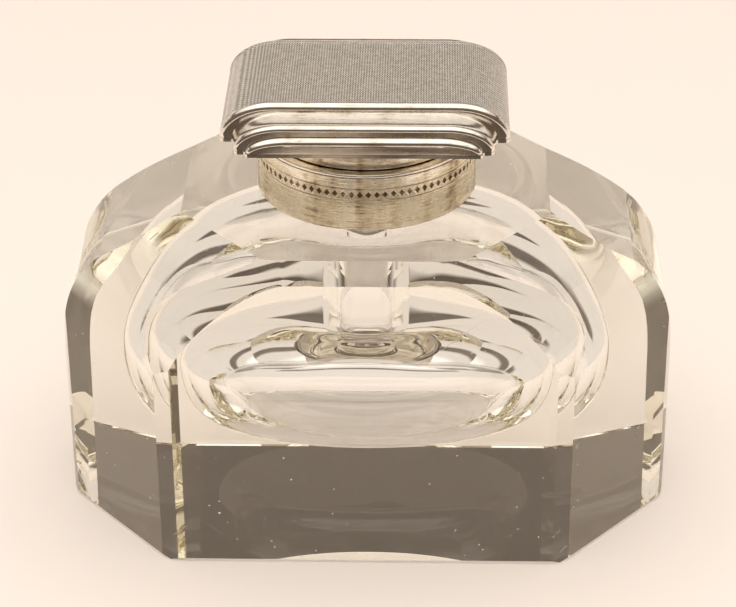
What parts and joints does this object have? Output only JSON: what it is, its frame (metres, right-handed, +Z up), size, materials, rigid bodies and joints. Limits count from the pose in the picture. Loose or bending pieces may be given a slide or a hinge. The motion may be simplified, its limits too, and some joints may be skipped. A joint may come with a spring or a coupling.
{
  "type": "inkwell",
  "caption": "Desk inkwell: a heavy canted glass block with an oval ink cavity, a round silver collar and a stepped silver lid hinged at the back.",
  "frame": {"origin": "centre of the flat base, on the surface that the inkwell stands on", "axes": "+X along the width, +Y to the hinge side at the back, +Z up"},
  "size_m": [0.15, 0.089, 0.112],
  "materials": {
    "clear_glass": "polished, cut facets",
    "silver": "polished, lightly tarnished",
    "engine_turned_silver": "engine-turned, satin",
    "plaster": "matt",
    "leather": "matt"
  },
  "bodies": {
    "base": {"glass_block": "clear_glass", "collar_bedding": "plaster", "collar_band": "silver", "collar_top_plate": "silver", "hinge_collar_bearer": "silver", "hinge_knuckle_left": "silver", "hinge_knuckle_centre": "silver", "hinge_knuckle_right": "silver", "hinge_pin": "silver"},
    "lid": {"lid_base_plate": "silver", "lid_bezel": "silver", "lid_barrel": "engine_turned_silver", "lid_front_bead": "silver", "lid_back_bead": "silver", "lid_front_ledge": "silver", "lid_back_ledge": "silver", "lid_front_face": "silver", "lid_back_face": "silver", "lid_knuckle_left": "silver", "lid_knuckle_right": "silver", "hinge_lid_bearer": "silver", "seal_pad_holder": "silver", "seal_pad": "leather"}
  },
  "joints": [
    {"name": "lid_hinge", "type": "hinge", "parent": "base", "child": "lid", "pos_m": [0, 0.0287, 0.0979], "axis": [-1, 0, 0], "range_deg": [0, 105]}
  ]
}
